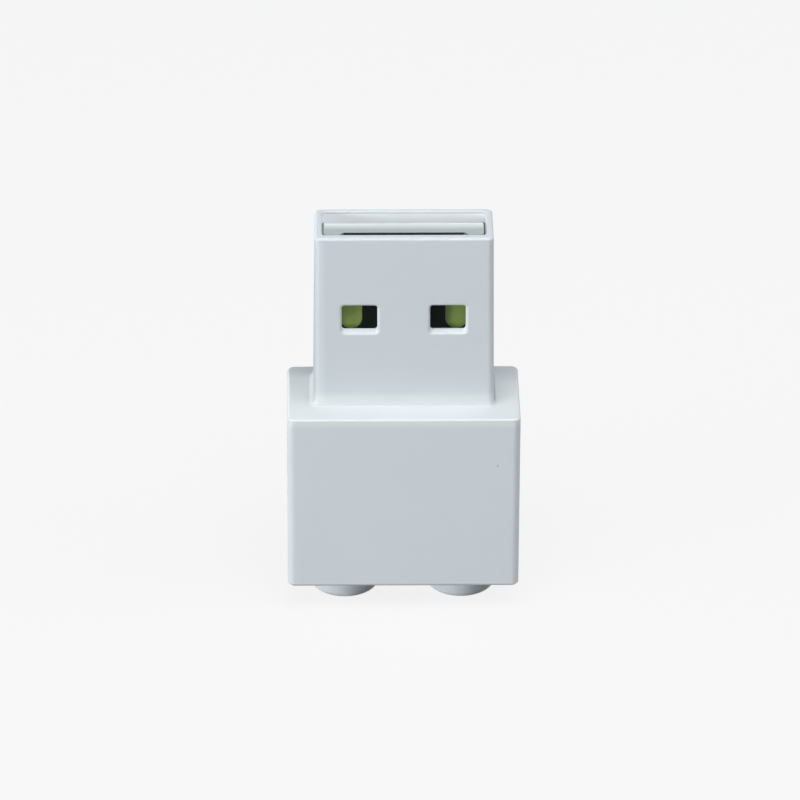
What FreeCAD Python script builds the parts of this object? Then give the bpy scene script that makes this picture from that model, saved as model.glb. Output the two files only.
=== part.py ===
import FreeCAD, Part
import math
import os

import Sketcher


# Driving sizes in millimetres.
# Z points up, the plug's windows face the front (-Y), and Z = 0 is the flat ends of the studs.
SIZES = [
    ("body_width", 15.8, "width of the body block"),
    ("body_depth", 7.8, "depth of the body block, front to back"),
    ("body_height", 13.0, "height of the body block without its studs"),
    ("body_corner", 0.5, "radius of the body's four upright edges"),
    ("body_edge", 0.18, "rounding of the body's upper edges"),
    ("body_lip", 0.15, "bevel of the body's lower edges"),
    ("body_wall", 0.9, "thickness of the body's four side walls"),
    ("top_wall", 1.0, "thickness of the wall that carries the plug"),
    ("plug_width", 12.0, "width of the plug at its mouth"),
    ("plug_depth", 4.5, "depth of the plug at its mouth"),
    ("plug_length", 12.65, "how far the plug stands out of the body"),
    ("plug_setback", 0.5, "how far the plug's middle lies behind the body's middle"),
    ("plug_flare", 0.13, "draft: what each side of the plug gains down to the body"),
    ("plug_corner", 0.4, "radius of the plug's upright edges"),
    ("plug_foot", 0.3, "rounding where the plug meets the body"),
    ("plug_side_wall", 0.5, "thickness of the plug's side walls at the mouth"),
    ("plug_back_wall", 0.45, "thickness of the plug's back wall at the mouth"),
    ("plug_front_wall", 0.6, "thickness of the plug's front wall at the mouth"),
    ("hollow_corner", 0.25, "radius of the upright edges inside the plug and the body"),
    ("mouth_edge", 0.2, "rounding of the outer rim of the mouth"),
    ("mouth_lead", 0.08, "bevel of the inner rim of the mouth"),
    ("window_width", 2.4, "width of a latch window"),
    ("window_height", 2.0, "height of a latch window"),
    ("window_spacing", 5.95, "distance between the middles of the two windows of a side"),
    ("window_drop", 5.08, "distance from the mouth down to a window"),
    ("window_corner", 0.2, "radius of a window's corners"),
    ("window_edge", 0.2, "rounding of a window's outer edge"),
    ("stud_diameter", 4.75, "diameter of a stud"),
    ("stud_height", 1.85, "how far the studs stand below the body"),
    ("stud_spacing", 8.0, "distance between the middles of the studs"),
    ("stud_edge", 0.42, "rounding of a stud's end"),
    ("stud_wall", 0.9, "wall round the core that ends above a stud"),
    ("cap_thickness", 1.2, "thickness of the end cap's plate"),
    ("cap_seat", 0.4, "width of the step in the body's walls that the end cap seats on"),
    ("cap_gap", 0.05, "gap round the end cap's plate and rim"),
    ("rim_height", 1.0, "height of the end cap's locating rim"),
    ("rim_wall", 0.6, "thickness of the end cap's locating rim"),
    ("post_width", 3.0, "width of the end cap's post under the board"),
    ("post_depth", 2.0, "depth of the end cap's post under the board"),
    ("tongue_gap", 0.15, "gap at each side of the contact tongue"),
    ("tongue_edge", 0.35, "rounding of the tongue's end towards the hollow"),
    ("slot_width", 8.7, "width of the slot in the front of the tongue's nose"),
    ("slot_slant", 0.3, "width of the slanted end of that slot"),
    ("slot_gap", 0.03, "gap behind the retainer's tab in that slot, and at its ends"),
    ("tab_drop", 0.02, "distance from the mouth down to the end of the retainer's tab"),
    ("nose_length", 3.2, "solid end of the tongue, from the mouth to the board"),
    ("tongue_rail", 0.6, "width of the tongue's rails beside the board"),
    ("tongue_web", 0.65, "plastic of the tongue between the board and the contacts"),
    ("ear_height", 0.9, "height of the tongue's two ears, under the top wall"),
    ("contact_width", 1.0, "width of a contact"),
    ("contact_gap", 0.03, "gap at each side of a contact in its groove"),
    ("contact_drop", 0.2, "straight run of a contact below the tongue"),
    ("contact_thickness", 0.2, "thickness of a contact's metal"),
    ("contact_inner", 2.0, "distance between the middles of the two data contacts"),
    ("contact_outer", 7.0, "distance between the middles of power and ground contact"),
    ("power_tip", 1.2, "distance from the mouth to the power and ground contacts"),
    ("data_tip", 2.2, "distance from the mouth to the data contacts"),
    ("contact_foot", 0.9, "length of a contact's soldered foot"),
    ("contact_jog", 0.5, "height of the bend that brings a contact to the board"),
    ("contact_bend", 0.12, "inner radius of a contact's bends"),
    ("board_thickness", 0.7, "thickness of the circuit board"),
    ("board_margin", 0.6, "distance from the board's edge to the side wall of the body"),
    ("board_gap", 0.05, "gap round the circuit board"),
    ("board_base", 4.2, "height of the board's lower edge above the stud ends"),
    ("rail_width", 1.0, "how far the body's board rails stand out from the side walls"),
    ("rail_wall", 0.7, "thickness of one cheek of a board rail"),
    ("retainer_thickness", 0.3, "thickness of the board retainer"),
    ("opening_width", 1.52, "width of a round-ended opening in the retainer"),
    ("opening_spacing", 7.12, "distance between the middles of the retainer's two openings"),
    ("opening_drop", 0.14, "how far the opening reaches below the window's lower edge"),
    ("opening_rise", 0.6, "how far the opening reaches above the window's upper edge"),
    ("radio_side", 4.0, "side of the radio chip"),
    ("radio_height", 0.85, "height of the radio chip"),
    ("pad_size", 0.25, "width of one of the radio chip's edge pads"),
    ("pad_spacing", 0.5, "distance between neighbouring edge pads"),
    ("pad_length", 0.04, "how far an edge pad shows beside the package"),
    ("pad_height", 0.2, "height of an edge pad"),
    ("dot_diameter", 0.5, "diameter of the round mark at a package's first corner"),
    ("dot_depth", 0.06, "depth of that mark"),
    ("dot_inset", 0.7, "distance from the mark's middle to the package's two edges"),
    ("crystal_width", 2.0, "width of the crystal can"),
    ("crystal_length", 2.5, "length of the crystal can"),
    ("crystal_height", 0.45, "height of the crystal's ceramic tray"),
    ("crystal_lid", 0.2, "height of the crystal's metal lid"),
    ("lid_inset", 0.15, "how far the crystal's lid lies inside its tray"),
    ("lid_corner", 0.3, "radius of the crystal lid's corners"),
    ("memory_width", 3.0, "width of the memory chip's package"),
    ("memory_length", 3.0, "length of the memory chip's package"),
    ("memory_height", 0.9, "height of the memory chip's package above the gap under it"),
    ("memory_lead_spacing", 0.65, "distance between the memory chip's leads"),
    ("regulator_width", 1.3, "width of the voltage regulator's package"),
    ("regulator_length", 2.9, "length of the voltage regulator's package"),
    ("regulator_height", 1.0, "height of the voltage regulator's package above the gap under it"),
    ("regulator_lead_spacing", 0.95, "distance between the voltage regulator's lead places"),
    ("lead_width", 0.32, "width of a package lead"),
    ("lead_thickness", 0.15, "thickness of a package lead"),
    ("lead_length", 0.9, "how far a lead stands out of its package"),
    ("chip_gap", 0.1, "gap under a leaded package"),
    ("chip_length", 1.0, "length of a small capacitor, resistor or coil"),
    ("chip_width", 0.5, "width of a small capacitor, resistor or coil"),
    ("chip_end", 0.25, "length of the metal end of a small part"),
    ("chip_plating", 0.03, "how far the metal end stands out all round"),
    ("capacitor_height", 0.5, "height of a capacitor's ceramic"),
    ("resistor_height", 0.32, "height of a resistor's ceramic"),
    ("coil_height", 0.6, "height of the coil's ceramic"),
    ("part_gap", 0.45, "distance kept between parts on the board"),
    ("antenna_trace", 0.5, "width of the antenna's copper"),
    ("antenna_copper", 0.05, "thickness of the antenna's copper"),
    ("antenna_height", 1.9, "height of the antenna's bends"),
    ("antenna_margin", 0.35, "distance from the antenna to the board's lower edge and to the rails"),
]
# How many there are of what repeats
ANTENNA_UPRIGHTS = 10
RADIO_PADS = 6
CAPACITORS = 4
RESISTORS = 3
# Smaller than any size above: how near counts as the same place
TINY = 0.001


# The document and its spreadsheet
doc = FreeCAD.newDocument("UsbWirelessDongle")
sheet = doc.addObject("Spreadsheet::Sheet", "Sizes")
for row, (alias, size, meaning) in enumerate(SIZES, start=1):
    sheet.set("A%d" % row, meaning)
    sheet.set("B%d" % row, str(size))
    sheet.setAlias("B%d" % row, alias)
doc.recompute()


# Places that several pieces share, as formulas on the spreadsheet.
# Heights
BASE = "Sizes.stud_height"
TOP = "(Sizes.stud_height + Sizes.body_height)"
CEILING = "(Sizes.stud_height + Sizes.body_height - Sizes.top_wall)"
MOUTH = "(Sizes.stud_height + Sizes.body_height + Sizes.plug_length)"
SEAT = "(Sizes.stud_height + Sizes.cap_thickness)"
EAR_LOW = "(" + CEILING + " - Sizes.ear_height)"
NOSE_LOW = "(" + MOUTH + " - Sizes.nose_length)"
WINDOW_TOP = "(" + MOUTH + " - Sizes.window_drop)"
WINDOW_LOW = "(" + WINDOW_TOP + " - Sizes.window_height)"
RADIO_MIDDLE = "(" + EAR_LOW + " - Sizes.part_gap - Sizes.radio_side / 2)"
JOG_TOP = "(" + EAR_LOW + " - Sizes.contact_drop)"
JOG_LOW = "(" + JOG_TOP + " - Sizes.contact_jog)"
FOOT_LOW = "(" + JOG_LOW + " - Sizes.contact_foot)"
# Depths, from the front (-Y) to the back
HOLLOW_FRONT = "(Sizes.plug_setback - Sizes.plug_depth / 2 + Sizes.plug_front_wall)"
HOLLOW_BACK = "(Sizes.plug_setback + Sizes.plug_depth / 2 - Sizes.plug_back_wall)"
BOARD_FRONT = "(" + HOLLOW_FRONT + " + Sizes.retainer_thickness)"
BOARD_MIDDLE = "(" + BOARD_FRONT + " + Sizes.board_thickness / 2)"
BOARD_BACK = "(" + BOARD_FRONT + " + Sizes.board_thickness)"
BAY_BACK = "(" + BOARD_BACK + " + Sizes.board_gap)"
CONTACT_FRONT = "(" + BAY_BACK + " + Sizes.tongue_web)"
TONGUE_BACK = "(" + CONTACT_FRONT + " + Sizes.contact_thickness)"
# Widths
CAVITY_WIDTH = "(Sizes.body_width - 2 * Sizes.body_wall)"
CAVITY_DEPTH = "(Sizes.body_depth - 2 * Sizes.body_wall)"
SEAT_WIDTH = "(" + CAVITY_WIDTH + " + 2 * Sizes.cap_seat)"
SEAT_DEPTH = "(" + CAVITY_DEPTH + " + 2 * Sizes.cap_seat)"
HOLLOW_WIDTH = "(Sizes.plug_width - 2 * Sizes.plug_side_wall)"
HOLLOW_DEPTH = "(Sizes.plug_depth - Sizes.plug_front_wall - Sizes.plug_back_wall)"
TONGUE_WIDTH = "(" + HOLLOW_WIDTH + " - 2 * Sizes.tongue_gap)"
BAY_WIDTH = "(" + TONGUE_WIDTH + " - 2 * Sizes.tongue_rail)"
NECK_WIDTH = "(" + BAY_WIDTH + " - 2 * Sizes.board_gap)"
BOARD_WIDTH = "(" + CAVITY_WIDTH + " - 2 * Sizes.board_margin)"
RAIL_INNER = "(" + CAVITY_WIDTH + " / 2 - Sizes.rail_width)"


def size_of(formula):
    """The formula's value in millimetres."""
    return float(sheet.evalExpression(formula))


def new_body(label):
    """An empty body, which becomes one piece of the product."""
    body = doc.addObject("PartDesign::Body", label)
    body.Label = label
    return body


def origin_item(body, role):
    """The body's own origin plane or axis."""
    return next(item for item in body.Origin.OriginFeatures if item.Role == role)


def new_sketch(body, plane, lift="0", right="0", up="0"):
    """An empty sketch on an origin plane, moved along the plane and lifted off it."""
    sketch = body.newObject("Sketcher::SketchObject", "Sketch")
    sketch.AttachmentSupport = [(origin_item(body, plane), "")]
    sketch.MapMode = "FlatFace"
    sketch.setExpression("AttachmentOffset.Base.x", right)
    sketch.setExpression("AttachmentOffset.Base.y", up)
    sketch.setExpression("AttachmentOffset.Base.z", lift)
    return sketch


def constrain(sketch, *parts, formula=None):
    """Adds one constraint, and binds its size where a formula is given."""
    if formula is not None:
        parts = parts + (size_of(formula),)
    place = sketch.addConstraint(Sketcher.Constraint(*parts))
    if formula is not None:
        sketch.setExpression("Constraints[%d]" % place, formula)


def draw_outline(sketch, corners):
    """A closed outline of straight lines, whose corners are pairs of formulas."""
    points = [FreeCAD.Vector(size_of(x), size_of(y), 0) for x, y in corners]
    first = sketch.GeometryCount
    for start, end in zip(points, points[1:] + points[:1]):
        sketch.addGeometry(Part.LineSegment(start, end), False)
    for index, (x, y) in enumerate(corners):
        line = first + index
        after = first + (index + 1) % len(corners)
        constrain(sketch, "Coincident", line, 2, after, 1)
        constrain(sketch, "DistanceX", -1, 1, line, 1, formula=x)
        constrain(sketch, "DistanceY", -1, 1, line, 1, formula=y)


def draw_box(sketch, left, right, low, high):
    """A rectangle between four formulas."""
    draw_outline(sketch, [(left, low), (right, low), (right, high), (left, high)])


def draw_rounded_box(sketch, width, height, radius):
    """A rectangle with round corners about the sketch's origin."""
    half_width = size_of(width) / 2
    half_height = size_of(height) / 2
    bend = size_of(radius)
    inner_x = half_width - bend
    inner_y = half_height - bend
    centres = [(inner_x, inner_y), (-inner_x, inner_y), (-inner_x, -inner_y), (inner_x, -inner_y)]
    quarter = math.pi / 2
    arcs = []
    for index, (x, y) in enumerate(centres):
        circle = Part.Circle(FreeCAD.Vector(x, y, 0), FreeCAD.Vector(0, 0, 1), bend)
        arcs.append(Part.ArcOfCircle(circle, index * quarter, (index + 1) * quarter))
    corner = [sketch.addGeometry(arc, False) for arc in arcs]
    top, left, bottom, right = [
        sketch.addGeometry(Part.LineSegment(arc.EndPoint, after.StartPoint), False)
        for arc, after in zip(arcs, arcs[1:] + arcs[:1])
    ]
    for index, line in enumerate((top, left, bottom, right)):
        constrain(sketch, "Tangent", corner[index], 2, line, 1)
        constrain(sketch, "Tangent", line, 2, corner[(index + 1) % 4], 1)
    for line in (top, bottom):
        constrain(sketch, "Horizontal", line)
    for line in (left, right):
        constrain(sketch, "Vertical", line)
    for other in corner[1:]:
        constrain(sketch, "Equal", corner[0], other)
    constrain(sketch, "Symmetric", corner[0], 3, corner[2], 3, -1, 1)
    constrain(sketch, "Radius", corner[0], formula=radius)
    constrain(sketch, "DistanceX", left, 1, right, 1, formula=width)
    constrain(sketch, "DistanceY", bottom, 1, top, 1, formula=height)


def draw_slot(sketch, width, height):
    """An upright slot with round ends about the sketch's origin."""
    bend = size_of(width) / 2
    inner_y = size_of(height) / 2 - bend
    level = FreeCAD.Vector(0, 0, 1)
    upper = Part.ArcOfCircle(Part.Circle(FreeCAD.Vector(0, inner_y, 0), level, bend), 0, math.pi)
    lower = Part.ArcOfCircle(Part.Circle(FreeCAD.Vector(0, -inner_y, 0), level, bend), math.pi, 2 * math.pi)
    top, bottom = [sketch.addGeometry(arc, False) for arc in (upper, lower)]
    left = sketch.addGeometry(Part.LineSegment(upper.EndPoint, lower.StartPoint), False)
    right = sketch.addGeometry(Part.LineSegment(lower.EndPoint, upper.StartPoint), False)
    for arc, line, after in ((top, left, bottom), (bottom, right, top)):
        constrain(sketch, "Tangent", arc, 2, line, 1)
        constrain(sketch, "Tangent", line, 2, after, 1)
        constrain(sketch, "Vertical", line)
    constrain(sketch, "Symmetric", top, 3, bottom, 3, -1, 1)
    constrain(sketch, "DistanceX", left, 1, right, 2, formula=width)
    constrain(sketch, "DistanceY", bottom, 3, top, 3, formula=height + " - " + width)


def draw_circle(sketch, diameter):
    """A circle about the sketch's origin."""
    circle = Part.Circle(FreeCAD.Vector(0, 0, 0), FreeCAD.Vector(0, 0, 1), size_of(diameter) / 2)
    place = sketch.addGeometry(circle, False)
    constrain(sketch, "Coincident", place, 3, -1, 1)
    constrain(sketch, "Diameter", place, formula=diameter)


def add_pad(body, sketch, length, reverse=False, both_sides=False):
    """Adds material over the sketch, along its normal unless reversed."""
    feature = body.newObject("PartDesign::Pad", "Pad")
    feature.Profile = sketch
    feature.setExpression("Length", length)
    feature.Reversed = reverse
    feature.SideType = "Symmetric" if both_sides else "One side"
    return feature


def add_pocket(body, sketch, length, reverse=False, both_sides=False):
    """Cuts the sketch out of the body, against its normal unless reversed."""
    doc.recompute()
    volume = body.Shape.Volume
    feature = body.newObject("PartDesign::Pocket", "Pocket")
    feature.Profile = sketch
    feature.setExpression("Length", length)
    feature.Reversed = reverse
    feature.SideType = "Symmetric" if both_sides else "One side"
    doc.recompute()
    if not body.Shape.Volume < volume:
        raise RuntimeError("a pocket of %s cuts nothing" % body.Label)
    return feature


def mirror(body, feature, plane="YZ_Plane"):
    """Repeats a feature on the other side of an origin plane."""
    copy = body.newObject("PartDesign::Mirrored", "Mirrored")
    copy.Originals = [feature]
    copy.MirrorPlane = (origin_item(body, plane), [""])
    body.Tip = copy


def repeat(body, feature, axis, count, pitch):
    """Repeats a feature in a row along an origin axis."""
    row = body.newObject("PartDesign::LinearPattern", "LinearPattern")
    row.Originals = [feature]
    row.Direction = (origin_item(body, axis), [""])
    row.Mode = "Spacing"
    row.Occurrences = count
    row.setExpression("Offset", pitch)
    body.Tip = row


def edges_of(body, test):
    """Names of the edges of the body's last feature that the test picks."""
    doc.recompute()
    edges = enumerate(body.Tip.Shape.Edges, start=1)
    return ["Edge%d" % number for number, edge in edges if test(edge)]


def round_edges(body, radius, test):
    """Rounds the edges that the test picks."""
    names = edges_of(body, test)
    solid = body.Tip
    feature = body.newObject("PartDesign::Fillet", "Fillet")
    feature.Base = (solid, names)
    feature.setExpression("Radius", radius)


def bevel_edges(body, width, test):
    """Bevels the edges that the test picks."""
    names = edges_of(body, test)
    solid = body.Tip
    feature = body.newObject("PartDesign::Chamfer", "Chamfer")
    feature.Base = (solid, names)
    feature.setExpression("Size", width)


def lies_flat(edge, height):
    """Whether an edge lies in the level plane of that height."""
    box = edge.BoundBox
    return abs(box.ZMin - height) < TINY and abs(box.ZMax - height) < TINY


# The housing: the body block and the plug around its contacts, moulded in one piece
housing = new_body("housing")

sketch = new_sketch(housing, "XY_Plane", lift=BASE)
draw_rounded_box(sketch, "Sizes.body_width", "Sizes.body_depth", "Sizes.body_corner")
add_pad(housing, sketch, "Sizes.body_height")
round_edges(housing, "Sizes.body_edge", lambda edge: lies_flat(edge, size_of(TOP)))
bevel_edges(housing, "Sizes.body_lip", lambda edge: lies_flat(edge, size_of(BASE)))

# The plug's outside: a block whose four sides are drafted from its mouth down
sketch = new_sketch(housing, "XY_Plane", lift=MOUTH, up="Sizes.plug_setback")
draw_box(sketch, "-Sizes.plug_width / 2", "Sizes.plug_width / 2",
         "-Sizes.plug_depth / 2", "Sizes.plug_depth / 2")
plug = add_pad(housing, sketch, "Sizes.plug_length", reverse=True)


def is_plug_side(face):
    """Whether a face is one of the plug's four upright sides."""
    return face.BoundBox.ZMin > size_of(TOP) - TINY and face.BoundBox.ZLength > TINY


def is_plug_upright(edge):
    """Whether an edge is one of the plug's four upright edges."""
    return edge.BoundBox.ZLength > size_of("Sizes.plug_length") - TINY


def is_plug_foot(edge):
    """Whether an edge runs round the plug where it leaves the body."""
    box = edge.BoundBox
    beside_plug = max(abs(box.XMin), abs(box.XMax)) < size_of("Sizes.plug_width / 2 + 2 * Sizes.plug_flare")
    behind_front = box.YMin > size_of("Sizes.plug_setback - Sizes.plug_depth / 2 - 2 * Sizes.plug_flare")
    before_back = box.YMax < size_of("Sizes.plug_setback + Sizes.plug_depth / 2 + 2 * Sizes.plug_flare")
    return lies_flat(edge, size_of(TOP)) and beside_plug and behind_front and before_back


doc.recompute()
sides = ["Face%d" % number for number, face in enumerate(plug.Shape.Faces, start=1) if is_plug_side(face)]
mouth = ["Face%d" % number for number, face in enumerate(plug.Shape.Faces, start=1)
         if face.BoundBox.ZMin > size_of(MOUTH) - TINY]
draft = housing.newObject("PartDesign::Draft", "Draft")
draft.Base = (plug, sides)
draft.NeutralPlane = (plug, mouth)
draft.setExpression("Angle", "atan(Sizes.plug_flare / Sizes.plug_length)")
doc.recompute()
if not draft.Shape.Volume > plug.Shape.Volume:
    raise RuntimeError("the plug's draft points the wrong way")
round_edges(housing, "Sizes.plug_corner", is_plug_upright)
round_edges(housing, "Sizes.plug_foot", is_plug_foot)

# The body's cavity, the step that the end cap seats on, and the plug's hollow
sketch = new_sketch(housing, "XY_Plane", lift=BASE)
draw_rounded_box(sketch, CAVITY_WIDTH, CAVITY_DEPTH, "Sizes.hollow_corner")
add_pocket(housing, sketch, "Sizes.body_height - Sizes.top_wall", reverse=True)
sketch = new_sketch(housing, "XY_Plane", lift=BASE)
draw_rounded_box(sketch, SEAT_WIDTH, SEAT_DEPTH, "Sizes.hollow_corner")
add_pocket(housing, sketch, "Sizes.cap_thickness", reverse=True)
sketch = new_sketch(housing, "XY_Plane", lift=MOUTH,
                    up="(" + HOLLOW_FRONT + " + " + HOLLOW_BACK + ") / 2")
draw_rounded_box(sketch, HOLLOW_WIDTH, HOLLOW_DEPTH, "Sizes.hollow_corner")
add_pocket(housing, sketch, "Sizes.plug_length + Sizes.top_wall")

# The latch windows, two through the front wall and two through the back wall
sketch = new_sketch(housing, "XZ_Plane", right="Sizes.window_spacing / 2",
                    up="(" + WINDOW_TOP + " + " + WINDOW_LOW + ") / 2")
draw_rounded_box(sketch, "Sizes.window_width", "Sizes.window_height", "Sizes.window_corner")
windows = add_pocket(housing, sketch, "2 * (Sizes.plug_depth + Sizes.plug_setback)", both_sides=True)
mirror(housing, windows)


def is_window_rim(edge):
    """Whether an edge is the outer edge of a latch window."""
    middle = edge.BoundBox.Center
    in_window = size_of(WINDOW_LOW) - TINY < middle.z < size_of(WINDOW_TOP) + TINY
    within_width = abs(middle.x) < size_of("(Sizes.window_spacing + Sizes.window_width) / 2") + TINY
    outside = abs(middle.y - size_of("Sizes.plug_setback")) > size_of("Sizes.plug_depth / 2") + TINY
    return in_window and within_width and outside


def is_mouth_rim(edge):
    """Whether an edge runs round the outside of the plug's mouth."""
    return lies_flat(edge, size_of(MOUTH)) and not is_mouth_inside(edge)


def is_mouth_inside(edge):
    """Whether an edge runs round the inside of the plug's mouth."""
    box = edge.BoundBox
    inside_x = max(abs(box.XMin), abs(box.XMax)) < size_of(HOLLOW_WIDTH) / 2 + TINY
    inside_y = box.YMin > size_of(HOLLOW_FRONT) - TINY and box.YMax < size_of(HOLLOW_BACK) + TINY
    return lies_flat(edge, size_of(MOUTH)) and inside_x and inside_y


round_edges(housing, "min(Sizes.window_edge; 0.9 * Sizes.plug_back_wall)", is_window_rim)
round_edges(housing, "min(Sizes.mouth_edge; 0.6 * Sizes.plug_back_wall)", is_mouth_rim)
bevel_edges(housing, "min(Sizes.mouth_lead; 0.3 * Sizes.plug_back_wall)", is_mouth_inside)

# The rails that hold the board's two edges
rail_start = "(" + SEAT + " + Sizes.rim_height + Sizes.board_gap)"
rail_root = "((" + CAVITY_WIDTH + " + Sizes.body_wall) / 2)"
groove_end = "(" + BOARD_WIDTH + " / 2 + Sizes.board_gap)"
groove_front = "(" + BOARD_FRONT + " - Sizes.board_gap)"
groove_back = "(" + BOARD_BACK + " + Sizes.board_gap)"
cheek_front = "(" + groove_front + " - Sizes.rail_wall)"
cheek_back = "(" + groove_back + " + Sizes.rail_wall)"
sketch = new_sketch(housing, "XY_Plane", lift=rail_start)
draw_outline(sketch, [
    (RAIL_INNER, cheek_front),
    (rail_root, cheek_front),
    (rail_root, cheek_back),
    (RAIL_INNER, cheek_back),
    (RAIL_INNER, groove_back),
    (groove_end, groove_back),
    (groove_end, groove_front),
    (RAIL_INNER, groove_front),
])
rails = add_pad(housing, sketch, EAR_LOW + " - " + rail_start)
mirror(housing, rails)


# The end cap: a plate with a locating rim, a post under the board and two studs with a core above each
end_cap = new_body("end_cap")
sketch = new_sketch(end_cap, "XY_Plane", lift=BASE)
draw_rounded_box(sketch, SEAT_WIDTH + " - 2 * Sizes.cap_gap", SEAT_DEPTH + " - 2 * Sizes.cap_gap",
                 "Sizes.hollow_corner")
add_pad(end_cap, sketch, "Sizes.cap_thickness")

rim_width = "(" + CAVITY_WIDTH + " - 2 * Sizes.cap_gap)"
rim_depth = "(" + CAVITY_DEPTH + " - 2 * Sizes.cap_gap)"
sketch = new_sketch(end_cap, "XY_Plane", lift=SEAT)
draw_rounded_box(sketch, rim_width, rim_depth, "Sizes.hollow_corner")
draw_rounded_box(sketch, rim_width + " - 2 * Sizes.rim_wall", rim_depth + " - 2 * Sizes.rim_wall",
                 "Sizes.hollow_corner")
add_pad(end_cap, sketch, "Sizes.rim_height")

sketch = new_sketch(end_cap, "XY_Plane", lift=SEAT)
draw_box(sketch, "-Sizes.post_width / 2", "Sizes.post_width / 2",
         BOARD_MIDDLE + " - Sizes.post_depth / 2", BOARD_MIDDLE + " + Sizes.post_depth / 2")
add_pad(end_cap, sketch, "Sizes.board_base - " + SEAT)

sketch = new_sketch(end_cap, "XY_Plane", lift=BASE, right="Sizes.stud_spacing / 2")
draw_circle(sketch, "Sizes.stud_diameter")
stud = add_pad(end_cap, sketch, "Sizes.stud_height", reverse=True)
mirror(end_cap, stud)
round_edges(end_cap, "Sizes.stud_edge", lambda edge: lies_flat(edge, 0))
sketch = new_sketch(end_cap, "XY_Plane", lift=SEAT, right="Sizes.stud_spacing / 2")
draw_circle(sketch, "Sizes.stud_diameter - 2 * Sizes.stud_wall")
core = add_pocket(end_cap, sketch, "Sizes.cap_thickness")
mirror(end_cap, core)


# The contact tongue: a plate with two ears under the top wall, a bay for the board and four grooves
tongue = new_body("contact_tongue")
sketch = new_sketch(tongue, "XY_Plane", lift=EAR_LOW)
draw_box(sketch, "-" + TONGUE_WIDTH + " / 2", TONGUE_WIDTH + " / 2", HOLLOW_FRONT, TONGUE_BACK)
add_pad(tongue, sketch, MOUTH + " - " + EAR_LOW)
sketch = new_sketch(tongue, "XY_Plane", lift=EAR_LOW)
draw_box(sketch, "-" + BOARD_WIDTH + " / 2", BOARD_WIDTH + " / 2", HOLLOW_FRONT, TONGUE_BACK)
add_pad(tongue, sketch, "Sizes.ear_height")


def is_nose_edge(edge):
    """Whether an edge is the tongue's end edge towards the hollow."""
    return lies_flat(edge, size_of(MOUTH)) and edge.BoundBox.YMin > size_of(TONGUE_BACK) - TINY


def is_front_upright(edge):
    """Whether an edge is one of the tongue's upright edges on the front wall."""
    box = edge.BoundBox
    in_plug = box.ZMin > size_of(EAR_LOW + " + Sizes.ear_height") - TINY
    return in_plug and box.ZLength > TINY and box.YMax < size_of(HOLLOW_FRONT) + TINY


round_edges(tongue, "Sizes.hollow_corner", is_front_upright)
round_edges(tongue, "Sizes.tongue_edge", is_nose_edge)

sketch = new_sketch(tongue, "XY_Plane", lift=EAR_LOW)
draw_box(sketch, "-" + BAY_WIDTH + " / 2", BAY_WIDTH + " / 2", HOLLOW_FRONT, BAY_BACK)
add_pocket(tongue, sketch, NOSE_LOW + " - " + EAR_LOW, reverse=True)

slot_end = "(Sizes.slot_width / 2 - Sizes.slot_slant)"
slot_bottom = "(" + BOARD_FRONT + " + Sizes.slot_gap)"
sketch = new_sketch(tongue, "XY_Plane", lift=MOUTH)
draw_outline(sketch, [
    ("-Sizes.slot_width / 2", HOLLOW_FRONT),
    ("Sizes.slot_width / 2", HOLLOW_FRONT),
    (slot_end, slot_bottom),
    ("-" + slot_end, slot_bottom),
])
add_pocket(tongue, sketch, "Sizes.nose_length")

groove_width = "(Sizes.contact_width + 2 * Sizes.contact_gap)"
for spacing, tip in (("Sizes.contact_inner", "Sizes.data_tip"), ("Sizes.contact_outer", "Sizes.power_tip")):
    sketch = new_sketch(tongue, "XY_Plane", lift=EAR_LOW, right=spacing + " / 2")
    draw_box(sketch, "-" + groove_width + " / 2", groove_width + " / 2", CONTACT_FRONT, TONGUE_BACK)
    groove = add_pocket(tongue, sketch, MOUTH + " - " + EAR_LOW + " - " + tip, reverse=True)
    mirror(tongue, groove)


def make_contact(label, place, tip):
    """A strip of sprung metal that is bent below the tongue and soldered to the board's back."""
    contact = new_body(label)
    foot_back = "(" + BOARD_BACK + " + Sizes.contact_thickness)"
    tip_height = "(" + MOUTH + " - " + tip + ")"
    profile = new_sketch(contact, "YZ_Plane", lift=place)
    draw_outline(profile, [
        (CONTACT_FRONT, tip_height),
        (TONGUE_BACK, tip_height),
        (TONGUE_BACK, JOG_TOP),
        (foot_back, JOG_LOW),
        (foot_back, FOOT_LOW),
        (BOARD_BACK, FOOT_LOW),
        (BOARD_BACK, JOG_LOW),
        (CONTACT_FRONT, JOG_TOP),
    ])
    add_pad(contact, profile, "Sizes.contact_width", both_sides=True)
    inner = "Sizes.contact_bend"
    outer = "Sizes.contact_bend + Sizes.contact_thickness"
    bends = [
        (inner, CONTACT_FRONT, JOG_TOP),
        (outer, TONGUE_BACK, JOG_TOP),
        (inner, foot_back, JOG_LOW),
        (outer, BOARD_BACK, JOG_LOW),
    ]
    for radius, depth, height in bends:
        y = size_of(depth)
        z = size_of(height)
        round_edges(contact, radius,
                    lambda edge: lies_flat(edge, z) and abs(edge.BoundBox.Center.y - y) < TINY)


make_contact("contact_power", "-Sizes.contact_outer / 2", "Sizes.power_tip")
make_contact("contact_data_minus", "-Sizes.contact_inner / 2", "Sizes.data_tip")
make_contact("contact_data_plus", "Sizes.contact_inner / 2", "Sizes.data_tip")
make_contact("contact_ground", "Sizes.contact_outer / 2", "Sizes.power_tip")


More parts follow.
